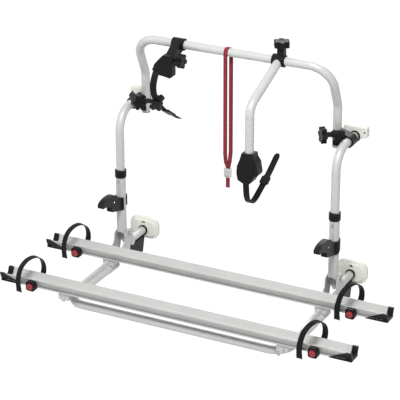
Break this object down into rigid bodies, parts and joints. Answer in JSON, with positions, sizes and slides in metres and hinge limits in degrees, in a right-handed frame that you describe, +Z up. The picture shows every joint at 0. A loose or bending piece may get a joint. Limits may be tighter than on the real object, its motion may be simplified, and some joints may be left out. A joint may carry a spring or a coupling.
{
  "type": "motorhome bike rack",
  "caption": "Wall-mounted rack for bicycles with a folding platform of wheel rails, telescopic side tubes, sliding upper frame and adjustable frame holders.",
  "frame": {"origin": "midway between the two lower fixing holes, in the plane of the vehicle's wall", "axes": "+X along the wheel rails to the right as seen from behind the vehicle, +Y into the vehicle's wall, +Z up"},
  "size_m": [1.312, 0.6202, 0.9253],
  "materials": {
    "pad_plastic": "satin cream moulding",
    "alloy": "satin anodised",
    "steel": "plated",
    "grey_plastic": "satin",
    "black_plastic": "fine grain",
    "sleeve_rubber": "matt",
    "strap_rubber": "matt",
    "red_webbing": "woven",
    "buckle_metal": "polished",
    "red_plastic": "gloss"
  },
  "bodies": {
    "wall_base": {"lower_pad_left": "pad_plastic", "lower_pad_right": "pad_plastic", "lower_stub_rings": "black_plastic", "hinge_bracket_left": "alloy", "hinge_bracket_right": "alloy", "lower_tube_left": "alloy", "lower_tube_right": "alloy", "tube_collars": "black_plastic", "height_screws": "steel", "hinge_bolts": "steel"},
    "hook_left": {"hook_left": "black_plastic"},
    "hook_right": {"hook_right": "black_plastic"},
    "uprights": {"upper_tube_left": "alloy", "upper_tube_right": "alloy", "upper_pad_left": "pad_plastic", "upper_pad_right": "pad_plastic", "upper_stub_rings": "black_plastic", "frame_clamp_left": "black_plastic", "frame_clamp_right": "black_plastic"},
    "clamp_knob_left": {"clamp_knob_left": "black_plastic"},
    "clamp_knob_right": {"clamp_knob_right": "black_plastic"},
    "frame": {"upper_frame": "alloy", "frame_plugs": "grey_plastic"},
    "short_liner": {"short_holder_liner": "sleeve_rubber"},
    "short_holder": {"short_holder_clamp": "black_plastic", "short_holder_strap": "strap_rubber", "short_holder_buckle": "black_plastic"},
    "short_knob": {"short_holder_knob": "black_plastic"},
    "long_liner": {"long_holder_liner": "sleeve_rubber"},
    "long_holder": {"long_holder_clamp": "black_plastic", "long_holder_arm": "alloy", "long_holder_head": "black_plastic", "long_holder_strap": "strap_rubber", "long_holder_keeper": "black_plastic"},
    "long_knob": {"long_holder_knob": "black_plastic"},
    "security": {"security_strap": "red_webbing", "security_buckle": "buckle_metal"},
    "platform": {"arm_left": "alloy", "arm_right": "alloy", "platform_tube": "alloy", "platform_plugs": "black_plastic", "platform_feet": "steel", "heel_blocks": "black_plastic", "front_rail": "alloy", "rear_rail": "alloy", "front_rail_caps": "black_plastic", "rear_rail_caps": "black_plastic", "rail_bolts": "steel", "strap_buckles": "black_plastic"},
    "front_strap_left": {"front_strap_left": "strap_rubber"},
    "front_button_left": {"front_button_left": "red_plastic"},
    "front_strap_right": {"front_strap_right": "strap_rubber"},
    "front_button_right": {"front_button_right": "red_plastic"},
    "rear_strap_left": {"rear_strap_left": "strap_rubber"},
    "rear_button_left": {"rear_button_left": "red_plastic"},
    "rear_strap_right": {"rear_strap_right": "strap_rubber"},
    "rear_button_right": {"rear_button_right": "red_plastic"}
  },
  "joints": [
    {"name": "hook_slide_left", "type": "slide", "parent": "wall_base", "child": "hook_left", "axis": [0, 0, 1], "range_m": [0, 0.04]},
    {"name": "hook_slide_right", "type": "slide", "parent": "wall_base", "child": "hook_right", "axis": [0, 0, 1], "range_m": [0, 0.04]},
    {"name": "height_adjust", "type": "slide", "parent": "wall_base", "child": "uprights", "axis": [0, 0, 1], "range_m": [-0.02, 0.12]},
    {"name": "clamp_knob_turn_left", "type": "hinge", "parent": "uprights", "child": "clamp_knob_left", "pos_m": [-0.346, -0.144, 0.523], "axis": [-0.766, 0.6428, 0], "continuous": true},
    {"name": "clamp_knob_turn_right", "type": "hinge", "parent": "uprights", "child": "clamp_knob_right", "pos_m": [0.346, -0.144, 0.523], "axis": [0.766, 0.6428, 0], "continuous": true},
    {"name": "frame_slide", "type": "slide", "parent": "uprights", "child": "frame", "axis": [0, 0, 1], "range_m": [-0.05, 0]},
    {"name": "short_holder_slide", "type": "slide", "parent": "frame", "child": "short_liner", "axis": [1, 0, 0], "range_m": [-0.04, 0.06]},
    {"name": "short_holder_tilt", "type": "hinge", "parent": "short_liner", "child": "short_holder", "pos_m": [-0.196, -0.132, 0.754], "axis": [1, 0, 0], "range_deg": [-25, 25]},
    {"name": "short_knob_turn", "type": "hinge", "parent": "short_holder", "child": "short_knob", "pos_m": [-0.158, -0.193, 0.717], "axis": [1, 0, 0], "continuous": true},
    {"name": "long_holder_slide", "type": "slide", "parent": "frame", "child": "long_liner", "axis": [1, 0, 0], "range_m": [-0.06, 0.05]},
    {"name": "long_holder_tilt", "type": "hinge", "parent": "long_liner", "child": "long_holder", "pos_m": [0.178, -0.132, 0.754], "axis": [1, 0, 0], "range_deg": [-25, 25]},
    {"name": "long_knob_turn", "type": "hinge", "parent": "long_holder", "child": "long_knob", "pos_m": [0.186, -0.132, 0.802], "axis": [0, 0, 1], "continuous": true},
    {"name": "security_strap_slide", "type": "slide", "parent": "frame", "child": "security", "axis": [1, 0, 0], "range_m": [-0.08, 0.08]},
    {"name": "platform_fold", "type": "hinge", "parent": "wall_base", "child": "platform", "pos_m": [0, -0.158, 0.02], "axis": [-1, 0, 0], "range_deg": [0, 60]},
    {"name": "front_strap_swing_left", "type": "hinge", "parent": "platform", "child": "front_strap_left", "pos_m": [-0.522, -0.5307, -0.009], "axis": [-1, 0, 0], "range_deg": [0, 80]},
    {"name": "front_button_press_left", "type": "slide", "parent": "platform", "child": "front_button_left", "axis": [0, 1, 0], "range_m": [0, 0.003], "stiffness_N_per_m": 400, "springref_m": -0.001},
    {"name": "front_strap_swing_right", "type": "hinge", "parent": "platform", "child": "front_strap_right", "pos_m": [0.534, -0.5307, -0.009], "axis": [-1, 0, 0], "range_deg": [0, 80]},
    {"name": "front_button_press_right", "type": "slide", "parent": "platform", "child": "front_button_right", "axis": [0, 1, 0], "range_m": [0, 0.003], "stiffness_N_per_m": 400, "springref_m": -0.001},
    {"name": "rear_strap_swing_left", "type": "hinge", "parent": "platform", "child": "rear_strap_left", "pos_m": [-0.522, -0.2277, -0.009], "axis": [-1, 0, 0], "range_deg": [0, 80]},
    {"name": "rear_button_press_left", "type": "slide", "parent": "platform", "child": "rear_button_left", "axis": [0, 1, 0], "range_m": [0, 0.003], "stiffness_N_per_m": 400, "springref_m": -0.001},
    {"name": "rear_strap_swing_right", "type": "hinge", "parent": "platform", "child": "rear_strap_right", "pos_m": [0.534, -0.2277, -0.009], "axis": [-1, 0, 0], "range_deg": [0, 80]},
    {"name": "rear_button_press_right", "type": "slide", "parent": "platform", "child": "rear_button_right", "axis": [0, 1, 0], "range_m": [0, 0.003], "stiffness_N_per_m": 400, "springref_m": -0.001}
  ]
}
